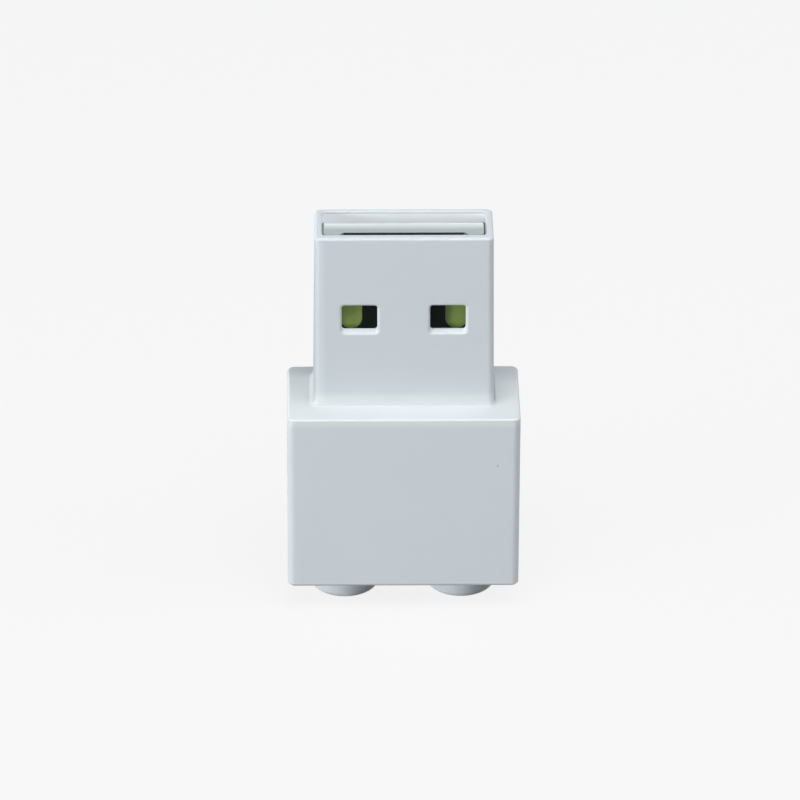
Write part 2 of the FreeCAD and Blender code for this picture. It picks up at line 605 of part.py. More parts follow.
# The circuit board: wide in the body's rails, with a neck that fills the tongue's bay
board = new_body("circuit_board")
board_half = "(" + BOARD_WIDTH + " / 2)"
neck_half = "(" + NECK_WIDTH + " / 2)"
neck_top = "(" + NOSE_LOW + " - Sizes.board_gap)"
sketch = new_sketch(board, "XZ_Plane", lift="-" + BOARD_BACK)
draw_outline(sketch, [
    ("-" + board_half, "Sizes.board_base"),
    (board_half, "Sizes.board_base"),
    (board_half, EAR_LOW),
    (neck_half, EAR_LOW),
    (neck_half, neck_top),
    ("-" + neck_half, neck_top),
    ("-" + neck_half, EAR_LOW),
    ("-" + board_half, EAR_LOW),
])
add_pad(board, sketch, "Sizes.board_thickness")


# The board retainer: a dark plate on the board's neck with an opening behind each window,
# and a tab that fills the tongue's slot up to the mouth
retainer = new_body("board_retainer")
tab_half = "(" + slot_end + " - Sizes.slot_gap)"
tab_top = "(" + MOUTH + " - Sizes.tab_drop)"
sketch = new_sketch(retainer, "XZ_Plane", lift="-" + BOARD_FRONT)
draw_outline(sketch, [
    ("-" + neck_half, EAR_LOW),
    (neck_half, EAR_LOW),
    (neck_half, neck_top),
    (tab_half, neck_top),
    (tab_half, tab_top),
    ("-" + tab_half, tab_top),
    ("-" + tab_half, neck_top),
    ("-" + neck_half, neck_top),
])
add_pad(retainer, sketch, "Sizes.retainer_thickness")
opening_low = "(" + WINDOW_LOW + " - Sizes.opening_drop)"
opening_high = "(" + WINDOW_TOP + " + Sizes.opening_rise)"
sketch = new_sketch(retainer, "XZ_Plane", lift="-" + BOARD_FRONT, right="Sizes.opening_spacing / 2",
                    up="(" + opening_low + " + " + opening_high + ") / 2")
draw_slot(sketch, "Sizes.opening_width", "(" + opening_high + " - " + opening_low + ")")
opening = add_pocket(retainer, sketch, "Sizes.retainer_thickness", reverse=True)
mirror(retainer, opening)


# The parts soldered to the board: a front part stands towards -Y, a back part towards +Y
def board_sketch(body, front, right, up, rise="0"):
    """A sketch on the board's front or back face, moved to the part's middle and off the board."""
    lift = "-" + BOARD_FRONT + " + " + rise if front else "-" + BOARD_BACK + " - " + rise
    return new_sketch(body, "XZ_Plane", lift=lift, right=right, up=up)


def make_small_part(label, height, right, up, front):
    """A ceramic block with a metal cap at each end."""
    part = new_body(label)
    end = "(Sizes.chip_length / 2)"
    plated_half = "(Sizes.chip_width / 2 + Sizes.chip_plating)"
    sketch = board_sketch(part, front, right, up, rise="Sizes.chip_plating")
    draw_box(sketch, "-" + end, end, "-Sizes.chip_width / 2", "Sizes.chip_width / 2")
    add_pad(part, sketch, height, reverse=not front)
    sketch = board_sketch(part, front, right, up)
    cap_start = "(" + end + " - Sizes.chip_end)"
    cap_end = "(" + end + " + Sizes.chip_plating)"
    draw_box(sketch, cap_start, cap_end, "-" + plated_half, plated_half)
    draw_box(sketch, "-" + cap_end, "-" + cap_start, "-" + plated_half, plated_half)
    add_pad(part, sketch, height + " + 2 * Sizes.chip_plating", reverse=not front)


def make_leaded_chip(label, kind, lead_count, right, up):
    """A moulded package on the board's back, with a row of bent leads along each long side."""
    chip = new_body(label)
    width = "Sizes." + kind + "_width"
    length = "Sizes." + kind + "_length"
    height = "Sizes." + kind + "_height"
    pitch = "Sizes." + kind + "_lead_spacing"
    sketch = board_sketch(chip, False, right, up, rise="Sizes.chip_gap")
    draw_box(sketch, "-" + width + " / 2", width + " / 2", "-" + length + " / 2", length + " / 2")
    add_pad(chip, sketch, height, reverse=True)
    first_lead = up + " - " + pitch + " * " + str((lead_count - 1) / 2) + " - Sizes.lead_width / 2"
    side = "(" + width + " / 2)"
    under = "(Sizes.chip_gap + " + height + " / 2)"
    over = "(" + under + " + Sizes.lead_thickness)"
    knee = "(" + side + " + Sizes.lead_length * 0.35)"
    knee_inside = "(" + knee + " - Sizes.lead_thickness)"
    heel = "(" + side + " + Sizes.lead_length * 0.55)"
    heel_inside = "(" + heel + " - Sizes.lead_thickness)"
    toe = "(" + side + " + Sizes.lead_length)"
    root = "(" + side + " - Sizes.lead_thickness)"
    lead = [
        (root, under),
        (knee_inside, under),
        (heel_inside, "0"),
        (toe, "0"),
        (toe, "Sizes.lead_thickness"),
        (heel, "Sizes.lead_thickness"),
        (knee, over),
        (root, over),
    ]
    profile = new_sketch(chip, "XY_Plane", lift=first_lead, right=right, up=BOARD_BACK)
    draw_outline(profile, lead)
    draw_outline(profile, [("-" + x, y) for x, y in reversed(lead)])
    leads = add_pad(chip, profile, "Sizes.lead_width")
    repeat(chip, leads, "Z_Axis", lead_count, pitch)


# The radio chip: a flat package whose pads show along its four sides
radio = new_body("radio_chip")
radio_half = "(Sizes.radio_side / 2)"
sketch = board_sketch(radio, True, "0", RADIO_MIDDLE)
draw_box(sketch, "-" + radio_half, radio_half, "-" + radio_half, radio_half)
add_pad(radio, sketch, "Sizes.radio_height")
# A strip across the package makes two pads that face each other
pad_end = "(" + radio_half + " + Sizes.pad_length)"
first_pad = "(-Sizes.pad_spacing * " + str((RADIO_PADS - 1) / 2) + ")"
first_low = first_pad + " - Sizes.pad_size / 2"
first_high = first_pad + " + Sizes.pad_size / 2"
for axis, strip in (("Z_Axis", ("-" + pad_end, pad_end, first_low, first_high)),
                    ("X_Axis", (first_low, first_high, "-" + pad_end, pad_end))):
    sketch = board_sketch(radio, True, "0", RADIO_MIDDLE)
    draw_box(sketch, *strip)
    pads = add_pad(radio, sketch, "Sizes.pad_height")
    repeat(radio, pads, axis, RADIO_PADS, "Sizes.pad_spacing")
sketch = board_sketch(radio, True, "Sizes.dot_inset - " + radio_half,
                      RADIO_MIDDLE + " + " + radio_half + " - Sizes.dot_inset", rise="Sizes.radio_height")
draw_circle(sketch, "Sizes.dot_diameter")
add_pocket(radio, sketch, "Sizes.dot_depth")


# The crystal: a ceramic tray under a metal lid, beside the radio chip
crystal = new_body("crystal")
crystal_place = "(-(" + radio_half + " + Sizes.part_gap + Sizes.crystal_width / 2))"
sketch = board_sketch(crystal, True, crystal_place, RADIO_MIDDLE)
draw_box(sketch, "-Sizes.crystal_width / 2", "Sizes.crystal_width / 2",
         "-Sizes.crystal_length / 2", "Sizes.crystal_length / 2")
add_pad(crystal, sketch, "Sizes.crystal_height")
sketch = board_sketch(crystal, True, crystal_place, RADIO_MIDDLE, rise="Sizes.crystal_height")
draw_rounded_box(sketch, "Sizes.crystal_width - 2 * Sizes.lid_inset",
                 "Sizes.crystal_length - 2 * Sizes.lid_inset", "Sizes.lid_corner")
add_pad(crystal, sketch, "Sizes.crystal_lid")


# The memory chip and the voltage regulator, side by side below the contacts' feet
parts_top = "(" + FOOT_LOW + " - Sizes.part_gap)"
memory_place = "(-Sizes.part_gap / 2 - Sizes.lead_length - Sizes.memory_width / 2)"
memory_middle = "(" + parts_top + " - Sizes.memory_length / 2)"
make_leaded_chip("memory_chip", "memory", 4, memory_place, memory_middle)
regulator_place = "(Sizes.part_gap / 2 + Sizes.lead_length + Sizes.regulator_width / 2)"
regulator_middle = "(" + parts_top + " - Sizes.regulator_length / 2)"
make_leaded_chip("voltage_regulator", "regulator", 3, regulator_place, regulator_middle)


# The small parts: a column of capacitors beside the radio chip, a row of resistors below the memory chip
capacitor_place = "(" + radio_half + " + Sizes.part_gap + Sizes.chip_length / 2)"
column_pitch = "(Sizes.chip_width + Sizes.part_gap)"
for number in range(CAPACITORS):
    step = str(number - (CAPACITORS - 1) / 2)
    capacitor_middle = "(" + RADIO_MIDDLE + " + " + column_pitch + " * " + step + ")"
    make_small_part("capacitor_%d" % (number + 1), "Sizes.capacitor_height",
                    capacitor_place, capacitor_middle, front=True)
row_pitch = "(Sizes.chip_length + Sizes.part_gap)"
resistor_middle = ("(" + parts_top + " - max(Sizes.memory_length; Sizes.regulator_length)"
                   " - Sizes.part_gap - Sizes.chip_width / 2)")
for number in range(RESISTORS):
    resistor_place = "(" + row_pitch + " * " + str(number - (RESISTORS - 1) / 2) + ")"
    make_small_part("resistor_%d" % (number + 1), "Sizes.resistor_height",
                    resistor_place, resistor_middle, front=False)


# The antenna: a meander of copper along the board's lower edge, and the coil that feeds it
antenna = new_body("printed_antenna")
antenna_low = "(Sizes.board_base + Sizes.antenna_margin)"
antenna_top = "(" + antenna_low + " + Sizes.antenna_height)"
trace_half = "(Sizes.antenna_trace / 2)"
antenna_end = "(Sizes.antenna_margin - " + RAIL_INNER + ")"
first_upright = "(" + antenna_end + " + " + trace_half + ")"
antenna_step = "(-2 * " + first_upright + " / " + str(ANTENNA_UPRIGHTS - 1) + ")"
sketch = board_sketch(antenna, True, first_upright, "0")
draw_box(sketch, "-" + trace_half, trace_half, antenna_low, antenna_top)
upright = add_pad(antenna, sketch, "Sizes.antenna_copper")
repeat(antenna, upright, "X_Axis", ANTENNA_UPRIGHTS, antenna_step)
bend_rows = [
    (antenna_top + " - Sizes.antenna_trace", antenna_top, "0", ANTENNA_UPRIGHTS // 2),
    (antenna_low, antenna_low + " + Sizes.antenna_trace", antenna_step, (ANTENNA_UPRIGHTS - 1) // 2),
]
for low, high, start, count in bend_rows:
    sketch = board_sketch(antenna, True, first_upright + " + " + start, "0")
    draw_box(sketch, "0", antenna_step, low, high)
    bend = add_pad(antenna, sketch, "Sizes.antenna_copper")
    repeat(antenna, bend, "X_Axis", count, "2 * " + antenna_step)

coil_middle = "((" + antenna_top + " + " + RADIO_MIDDLE + " - " + radio_half + ") / 2)"
coil_place = "(" + antenna_end + " + Sizes.chip_plating + Sizes.chip_length / 2)"
make_small_part("antenna_coil", "Sizes.coil_height", coil_place, coil_middle, front=True)


# Every object and every piece is tested before anything is written
doc.recompute()
for item in doc.Objects:
    if "Invalid" in item.State or "Error" in item.State:
        raise RuntimeError("%s is not built: %s" % (item.Label, item.State))
pieces = [item for item in doc.Objects if item.TypeId == "PartDesign::Body"]
for piece in pieces:
    if piece.Shape.isNull() or not piece.Shape.isValid() or len(piece.Shape.Solids) != 1:
        raise RuntimeError("%s is not one sound solid" % piece.Label)
os.makedirs("parts", exist_ok=True)
for piece in pieces:
    piece.Shape.exportStep("parts/%s.step" % piece.Label)
    print("%-20s %9.3f mm3" % (piece.Label, piece.Shape.Volume))
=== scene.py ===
import math

import bmesh
import bpy
from mathutils import Matrix, Vector


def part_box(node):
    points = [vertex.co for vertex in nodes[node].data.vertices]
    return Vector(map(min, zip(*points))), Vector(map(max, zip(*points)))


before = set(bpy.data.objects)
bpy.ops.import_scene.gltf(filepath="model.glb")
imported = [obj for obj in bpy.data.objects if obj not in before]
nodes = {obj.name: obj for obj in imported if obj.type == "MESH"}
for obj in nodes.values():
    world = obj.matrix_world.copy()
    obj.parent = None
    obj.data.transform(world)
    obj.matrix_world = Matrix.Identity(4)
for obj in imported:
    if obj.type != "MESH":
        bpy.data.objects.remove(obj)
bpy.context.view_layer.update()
print("frame loaded:", len(nodes), "pieces")

millimetre = 0.001
noiseLow, noiseHigh = 0.3, 0.7        # where nearly all of a noise texture's values lie
white, black = (1.0, 1.0, 1.0, 1.0), (0.0, 0.0, 0.0, 1.0)


def toLinear(red, green, blue):
    # a screen colour from 0 to 255 as a shader colour
    channels = []
    for channel in (red, green, blue):
        c = channel / 255
        channels.append(c / 12.92 if c <= 0.04045 else ((c + 0.055) / 1.055) ** 2.4)
    return (*channels, 1.0)


def addNode(tree, kind, **settings):
    node = tree.nodes.new(kind)
    for name, value in settings.items():
        setattr(node, name, value)
    return node


def fill(node, **values):
    # sockets by name, with _ for a space
    for name, value in values.items():
        node.inputs[name.replace("_", " ")].default_value = value
    return node


def connect(tree, value, socket):
    # a number or colour is written into the socket, anything else is linked to it
    if isinstance(value, (int, float, tuple)):
        socket.default_value = value
    else:
        tree.links.new(value, socket)


def mathNode(tree, operation, *values, clamp=False):
    node = addNode(tree, "ShaderNodeMath", operation=operation, use_clamp=clamp)
    for index, value in enumerate(values):
        connect(tree, value, node.inputs[index])
    return node.outputs[0]


def vectorNode(tree, operation, *values):
    node = addNode(tree, "ShaderNodeVectorMath", operation=operation)
    for index, value in enumerate(values):
        connect(tree, value, node.inputs[index])
    return node.outputs[0]


def mixColours(tree, factor, first, second, blend="MIX"):
    node = addNode(tree, "ShaderNodeMix", data_type="RGBA", blend_type=blend)
    for index, value in ((0, factor), (6, first), (7, second)):
        connect(tree, value, node.inputs[index])
    return node.outputs[2]


def mapRange(tree, value, fromLow, fromHigh, toLow=0.0, toHigh=1.0, smooth=False):
    node = addNode(tree, "ShaderNodeMapRange", interpolation_type="SMOOTHSTEP" if smooth else "LINEAR")
    for name, given in (("Value", value), ("From Min", fromLow), ("From Max", fromHigh),
                        ("To Min", toLow), ("To Max", toHigh)):
        connect(tree, given, node.inputs[name])
    return node.outputs[0]


def multiply(tree, *factors):
    product = factors[0]
    for factor in factors[1:]:
        product = mathNode(tree, "MULTIPLY", product, factor)
    return product


def objectPlace(tree):
    return addNode(tree, "ShaderNodeTexCoord").outputs["Object"]


def axes(tree, place=None):
    # the three parts of a place, by default of the point that is shaded
    if place is None:
        place = objectPlace(tree)
    split = addNode(tree, "ShaderNodeSeparateXYZ")
    tree.links.new(place, split.inputs[0])
    return tuple(split.outputs)


def noise(tree, place, scale, detail=2.0, roughness=0.5):
    node = fill(addNode(tree, "ShaderNodeTexNoise"), Detail=detail, Roughness=roughness)
    tree.links.new(place, node.inputs["Vector"])
    connect(tree, scale, node.inputs["Scale"])
    return node.outputs[0]


def newGroup(name, inputs, outputs):
    # a shader node group with named sockets, inputs as (name, kind, value)
    group = bpy.data.node_groups.new(name, "ShaderNodeTree")
    for label, kind, value in inputs:
        group.interface.new_socket(label, in_out="INPUT", socket_type=kind).default_value = value
    for label, kind in outputs:
        group.interface.new_socket(label, in_out="OUTPUT", socket_type=kind)
    start = addNode(group, "NodeGroupInput")
    end = addNode(group, "NodeGroupOutput")
    return group, start.outputs, end.inputs


def useGroup(tree, group, **values):
    node = addNode(tree, "ShaderNodeGroup", node_tree=group)
    return fill(node, **values)


def newFinish(name):
    material = bpy.data.materials.new(name)
    material.use_nodes = True
    tree = material.node_tree
    return material, tree, tree.nodes["Principled BSDF"]


def bumpFrom(tree, shader, height, distance, strength=1.0):
    bump = fill(addNode(tree, "ShaderNodeBump"), Strength=strength, Distance=distance)
    tree.links.new(height, bump.inputs["Height"])
    tree.links.new(bump.outputs["Normal"], shader.inputs["Normal"])


def dress(name, finish):
    for slot in nodes[name].material_slots:
        slot.material = finish


# the fine satin of a spark-eroded mould: a height, and a slow drift in tone and gloss
mouldGrain, given, out = newGroup(
    "mouldGrain",
    [("Grain Size", "NodeSocketFloat", 9000.0), ("Drift Size", "NodeSocketFloat", 180.0),
     ("Roughness Low", "NodeSocketFloat", 0.3), ("Roughness High", "NodeSocketFloat", 0.4)],
    [("Height", "NodeSocketFloat"), ("Roughness", "NodeSocketFloat"), ("Drift", "NodeSocketFloat")])
place = objectPlace(mouldGrain)
grain = noise(mouldGrain, place, given["Grain Size"], detail=3.0, roughness=0.6)
drift = noise(mouldGrain, place, given["Drift Size"])
glossDrift = mapRange(mouldGrain, drift, noiseLow, noiseHigh, given["Roughness Low"], given["Roughness High"])
mouldGrain.links.new(grain, out["Height"])
mouldGrain.links.new(glossDrift, out["Roughness"])
mouldGrain.links.new(drift, out["Drift"])

# sparse tiny specks, as dust and moulding pits leave on a pale part
fineSpecks, given, out = newGroup(
    "fineSpecks",
    [("Spacing", "NodeSocketFloat", 900.0), ("Share", "NodeSocketFloat", 0.04), ("Radius", "NodeSocketFloat", 0.08)],
    [("Mask", "NodeSocketFloat")])
cells = addNode(fineSpecks, "ShaderNodeTexVoronoi")
fineSpecks.links.new(objectPlace(fineSpecks), cells.inputs["Vector"])
fineSpecks.links.new(given["Spacing"], cells.inputs["Scale"])
chosen = addNode(fineSpecks, "ShaderNodeSeparateColor")
fineSpecks.links.new(cells.outputs["Color"], chosen.inputs[0])
rare = mathNode(fineSpecks, "LESS_THAN", chosen.outputs[0], given["Share"])
near = mapRange(fineSpecks, cells.outputs["Distance"], 0.0, given["Radius"], 1.0, 0.0, smooth=True)
fineSpecks.links.new(multiply(fineSpecks, rare, near), out["Mask"])

# 1 inside a box that stands square to the part, 0 outside it
insideBox, given, out = newGroup(
    "insideBox",
    [("Low", "NodeSocketVector", (0.0, 0.0, 0.0)), ("High", "NodeSocketVector", (0.0, 0.0, 0.0)),
     ("Softness", "NodeSocketFloat", 0.0001)],
    [("Mask", "NodeSocketFloat")])
place = objectPlace(insideBox)
overLow = vectorNode(insideBox, "SUBTRACT", place, given["Low"])
underHigh = vectorNode(insideBox, "SUBTRACT", given["High"], place)
x, y, z = axes(insideBox, vectorNode(insideBox, "MINIMUM", overLow, underHigh))
shallowest = mathNode(insideBox, "MINIMUM", x, mathNode(insideBox, "MINIMUM", y, z))
insideBox.links.new(mapRange(insideBox, shallowest, 0.0, given["Softness"], smooth=True), out["Mask"])

# long fine lines along Z, as rolling and drawing leave on metal
drawnLines, given, out = newGroup(
    "drawnLines",
    [("Across", "NodeSocketFloat", 12000.0), ("Along", "NodeSocketFloat", 400.0)],
    [("Height", "NodeSocketFloat")])
stretch = addNode(drawnLines, "ShaderNodeCombineXYZ")
for axis, size in enumerate(("Across", "Across", "Along")):
    drawnLines.links.new(given[size], stretch.inputs[axis])
stretched = vectorNode(drawnLines, "MULTIPLY", objectPlace(drawnLines), stretch.outputs[0])
drawnLines.links.new(noise(drawnLines, stretched, 1.0, detail=3.0), out["Height"])
print("shared effects ready")


def boxMask(tree, low, high, softness=0.0001):
    return useGroup(tree, insideBox, Low=low, High=high, Softness=softness).outputs["Mask"]


def mouldedTone(tree, shader, look):
    # a moulded plastic's grain, gloss and speckled tone, gives back the tone
    surface = useGroup(tree, mouldGrain, Grain_Size=look["grainSize"], Drift_Size=look["driftSize"],
                       Roughness_Low=look["roughness"][0], Roughness_High=look["roughness"][1])
    specks = useGroup(tree, fineSpecks, Spacing=look["speckSpacing"], Share=look["speckShare"],
                      Radius=look["speckRadius"])
    toned = mixColours(tree, surface.outputs["Drift"], look["colour"], look["otherColour"])
    speckled = multiply(tree, specks.outputs["Mask"], look["speckDepth"])
    tree.links.new(surface.outputs["Roughness"], shader.inputs["Roughness"])
    bumpFrom(tree, shader, surface.outputs["Height"], look["grainDepth"])
    fill(shader, IOR=look["ior"], Specular_IOR_Level=look["shine"], Subsurface_Weight=look["glow"],
         Subsurface_Scale=look["glowDepth"], Subsurface_Radius=look["glowSpread"])
    return mixColours(tree, speckled, toned, look["speckColour"])


def bandTones(tree, along, bands):
    # the product of soft bands across one axis, each with its share of red, green and blue at its middle
    tones = white
    for band in bands.values():
        away = mathNode(tree, "ABSOLUTE", mathNode(tree, "SUBTRACT", along, band["middle"]))
        near = mapRange(tree, away, 0.0, band["reach"], 1.0, 0.0, smooth=True)
        tone = mixColours(tree, near, white, (*band["share"], 1.0))
        tones = mixColours(tree, 1.0, tones, tone, blend="MULTIPLY")
    return tones


# the pale moulded plastic, in the housing's tone
plasticLook = {
    "colour": toLinear(197, 204, 208), "otherColour": toLinear(193, 200, 206),
    "roughness": (0.46, 0.54), "ior": 1.5, "shine": 0.32,
    "grainSize": 14000.0, "grainDepth": 0.0000012, "driftSize": 160.0,
    "speckSpacing": 1100.0, "speckShare": 0.035, "speckRadius": 0.13, "speckDepth": 0.7,
    "speckColour": toLinear(120, 128, 130),
    "glow": 0.3, "glowDepth": 0.0004, "glowSpread": (1.0, 1.0, 1.0),
}
# painted light: the housing is painted whiter inside the plug, up to the windows' sills
insideLightLook = {
    "colour": toLinear(242, 247, 253),
    "low": (-0.00590, -0.00170, 0.01490), "high": (0.00590, 0.00270, 0.02738),
    "sillFront": -0.00175, "sillBack": -0.00115, "sillShare": 0.3,
}
# painted shade: dark in the narrow gaps beside the tongue, less so on the left
gapShadeLook = {
    "rightColour": toLinear(70, 86, 62), "leftColour": toLinear(150, 168, 156), "turn": 0.001,
    "side": 0.00533, "top": 0.0267, "front": 0.00082, "back": 0.00208, "softness": 0.00005,
}
# painted shade: the body's lower edge is darker, and so is the ledge towards its rear, with a bluish cast
lowEdgeShadeLook = {"heights": (0.00200, 0.00208), "share": 0.72}
ledgeShadeLook = {
    "colour": (0.0, 0.07, 0.2, 1.0), "share": 0.2,
    "lowHeights": (0.01460, 0.01462), "highHeights": (0.01630, 0.01545),
    "leftStart": 0.0022, "rightStart": 0.0013, "end": 0.0032, "turn": 0.006,
}
# painted shade in the crease at the foot of the plug's right side
creaseShadeLook = {
    "colour": toLinear(60, 75, 72), "share": 0.45,
    "low": (0.0059, -0.0014, 0.01484), "high": (0.0064, 0.0030, 0.01535), "softness": 0.00015,
}
# painted light that the step between body and plug throws back, painted shade along the soft lines of its roundings
# and the plug's slightly deeper tone, by height
stepLightBands = {
    "lipGlow": {"middle": 0.01456, "reach": 0.00045, "share": (1.12, 1.10, 1.06)},
    "lipShade": {"middle": 0.01473, "reach": 0.00008, "share": (0.82, 0.80, 0.80)},
    "footShade": {"middle": 0.01496, "reach": 0.00014, "share": (0.85, 0.83, 0.84)},
    "footGlow": {"middle": 0.01535, "reach": 0.0007, "share": (1.15, 1.11, 1.06)},
    "plugTone": {"middle": 0.0245, "reach": 0.013, "share": (0.975, 0.975, 0.975)},
}
# the same painted light and shade on the plug's front left edge, by the place along X
edgeLightBands = {
    "edgeGlow": {"middle": -0.00562, "reach": 0.0005, "share": (1.08, 1.08, 1.08)},
    "edgeShade": {"middle": -0.00613, "reach": 0.00038, "share": (0.72, 0.72, 0.72)},
}
plugEdgeLightLook = {"low": (-0.0070, -0.0025, 0.0149), "high": (-0.0049, -0.0011, 0.0275), "softness": 0.0005}


# where the painted shade of the gaps beside the tongue falls
def gapShadeMask(tree, x, y, z):
    soft = gapShadeLook["softness"]
    beside = mapRange(tree, mathNode(tree, "ABSOLUTE", x), gapShadeLook["side"], gapShadeLook["side"] + soft)
    below = mapRange(tree, z, gapShadeLook["top"], gapShadeLook["top"] - soft)
    ahead = mapRange(tree, y, gapShadeLook["front"], gapShadeLook["front"] - soft)
    behind = mapRange(tree, y, gapShadeLook["back"] - soft, gapShadeLook["back"])
    return multiply(tree, beside, below, mathNode(tree, "ADD", ahead, behind))


# where the painted shade at the rear of the ledge falls, starting further back on the left
def ledgeShadeMask(tree, x, y, z):
    start = mapRange(tree, x, -ledgeShadeLook["turn"], ledgeShadeLook["turn"], ledgeShadeLook["leftStart"], ledgeShadeLook["rightStart"])
    atBack = mapRange(tree, y, start, ledgeShadeLook["end"], 0.0, ledgeShadeLook["share"])
    above = mapRange(tree, z, *ledgeShadeLook["lowHeights"])
    below = mapRange(tree, z, *ledgeShadeLook["highHeights"])
    return multiply(tree, atBack, above, below)


housingPlastic, tree, shader = newFinish("housingPlastic")
x, y, z = axes(tree)
outside = mouldedTone(tree, shader, plasticLook)
# painted light and shade at the step between body and plug, by height
outside = mixColours(tree, 1.0, outside, bandTones(tree, z, stepLightBands), blend="MULTIPLY")
# painted light and shade on the plug's front left edge
plugEdgeLight = boxMask(tree, plugEdgeLightLook["low"], plugEdgeLightLook["high"], plugEdgeLightLook["softness"])
outside = mixColours(tree, plugEdgeLight, outside, bandTones(tree, x, edgeLightBands), blend="MULTIPLY")
# painted shade along the body's lower edge
lowEdgeShade = mapRange(tree, z, *lowEdgeShadeLook["heights"], lowEdgeShadeLook["share"], 1.0)
outside = mixColours(tree, 1.0, outside, lowEdgeShade, blend="MULTIPLY")
# painted shade towards the rear of the ledge, with a bluish cast
outside = mixColours(tree, ledgeShadeMask(tree, x, y, z), outside, ledgeShadeLook["colour"])
# painted shade in the crease at the foot of the plug's right side
creaseShade = boxMask(tree, creaseShadeLook["low"], creaseShadeLook["high"], creaseShadeLook["softness"])
outside = mixColours(tree, multiply(tree, creaseShade, creaseShadeLook["share"]), outside, creaseShadeLook["colour"])
# painted shade in the gaps beside the tongue, paler on the left
onRight = mapRange(tree, x, -gapShadeLook["turn"], gapShadeLook["turn"])
gapShade = mixColours(tree, onRight, gapShadeLook["leftColour"], gapShadeLook["rightColour"])
within = mixColours(tree, gapShadeMask(tree, x, y, z), insideLightLook["colour"], gapShade)
# painted light: whiter inside the plug, only partly so on the windows' sills
insideLightMask = boxMask(tree, insideLightLook["low"], insideLightLook["high"])
sillLight = mapRange(tree, y, insideLightLook["sillFront"], insideLightLook["sillBack"], insideLightLook["sillShare"], 1.0)
tree.links.new(mixColours(tree, multiply(tree, insideLightMask, sillLight), outside, within), shader.inputs["Base Color"])
dress("housing", housingPlastic)

capLook = dict(plasticLook, colour=toLinear(212, 219, 223), otherColour=toLinear(208, 215, 220))
capPlastic, tree, shader = newFinish("capPlastic")
tree.links.new(mouldedTone(tree, shader, capLook), shader.inputs["Base Color"])
dress("end_cap", capPlastic)

# the tongue's glossier, greyer plastic, darker grey towards the board at its open end
tongueLook = dict(
    plasticLook,
    colour=toLinear(222, 230, 231), otherColour=toLinear(218, 226, 227),
    greyerColour=toLinear(157, 167, 168), greyerFrom=0.00062, greyerTo=-0.00045,
    roughness=(0.29, 0.35), grainDepth=0.0000006, speckShare=0.05, glow=0.2)
tonguePlastic, tree, shader = newFinish("tonguePlastic")
x, y, z = axes(tree)
clean = mouldedTone(tree, shader, tongueLook)
# darker grey towards the open end
towardsOpenEnd = mapRange(tree, y, tongueLook["greyerFrom"], tongueLook["greyerTo"])
tree.links.new(mixColours(tree, towardsOpenEnd, clean, tongueLook["greyerColour"]), shader.inputs["Base Color"])
dress("contact_tongue", tonguePlastic)

retainerLook = dict(
    plasticLook,
    colour=toLinear(6, 9, 8), otherColour=toLinear(4, 7, 6),
    roughness=(0.4, 0.5), glow=0.0, shine=0.1, speckColour=toLinear(60, 64, 62), speckDepth=0.4)
retainerPlastic, tree, shader = newFinish("retainerPlastic")
tree.links.new(mouldedTone(tree, shader, retainerLook), shader.inputs["Base Color"])
dress("board_retainer", retainerPlastic)
print("plastics ready")

# the board: green varnish over glass cloth, with tracks on its wide part and bare laminate at its edges
boardLook = {
    "varnish": toLinear(150, 174, 84), "otherVarnish": toLinear(112, 136, 62), "varnishTurn": 0.001,
    "track": toLinear(150, 176, 84), "laminate": toLinear(186, 176, 118), "mottleShare": 0.2,
    "clothSize": 2400.0, "clothDepth": 0.000002, "mottleSize": 500.0,
    "trackLength": 0.0034, "trackSpacing": 0.0009, "trackWidth": 0.00012,
    "trackLow": (-0.0062, -0.0012, 0.0070), "trackHigh": (0.0062, 0.0002, 0.0126),
    "edgeDepth": 0.00002, "edgeBeyond": 1.0, "roughness": (0.29, 0.38), "shine": 0.35,
}
boardFinish, tree, shader = newFinish("boardLaminate")
place = objectPlace(tree)
x, y, z = axes(tree, place)
flat = addNode(tree, "ShaderNodeCombineXYZ")
tree.links.new(x, flat.inputs[0])
tree.links.new(z, flat.inputs[1])
mottle = noise(tree, place, boardLook["mottleSize"])
# painted light: the varnish is painted paler on the left half, where the left window's jamb shades it
leftLightTurn = mapRange(tree, x, -boardLook["varnishTurn"], boardLook["varnishTurn"], smooth=True)
mottleAndLeftLight = mathNode(tree, "ADD", leftLightTurn, multiply(tree, mottle, boardLook["mottleShare"]), clamp=True)
varnish = mixColours(tree, mottleAndLeftLight, boardLook["varnish"], boardLook["otherVarnish"])
tracks = addNode(tree, "ShaderNodeTexBrick", offset=0.5)
fill(tracks, Color1=black, Color2=black, Mortar=white, Scale=1.0,
     Mortar_Size=boardLook["trackWidth"], Brick_Width=boardLook["trackLength"], Row_Height=boardLook["trackSpacing"])
tree.links.new(flat.outputs[0], tracks.inputs["Vector"])
trackArea = boxMask(tree, boardLook["trackLow"], boardLook["trackHigh"])
faced = mixColours(tree, multiply(tree, tracks.outputs["Color"], trackArea), varnish, boardLook["track"])
boardLow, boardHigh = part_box("circuit_board")
beyond, skin = boardLook["edgeBeyond"], boardLook["edgeDepth"]
coreLow = (boardLow[0] - beyond, boardLow[1] + skin, boardLow[2] - beyond)
coreHigh = (boardHigh[0] + beyond, boardHigh[1] - skin, boardHigh[2] + beyond)
core = boxMask(tree, coreLow, coreHigh, skin)
tree.links.new(mixColours(tree, core, faced, boardLook["laminate"]), shader.inputs["Base Color"])
tree.links.new(mapRange(tree, mottle, noiseLow, noiseHigh, *boardLook["roughness"]), shader.inputs["Roughness"])
cloth = fill(addNode(tree, "ShaderNodeTexChecker"), Scale=boardLook["clothSize"])
tree.links.new(place, cloth.inputs["Vector"])
bumpFrom(tree, shader, cloth.outputs["Fac"], boardLook["clothDepth"])
fill(shader, Specular_IOR_Level=boardLook["shine"])
dress("circuit_board", boardFinish)

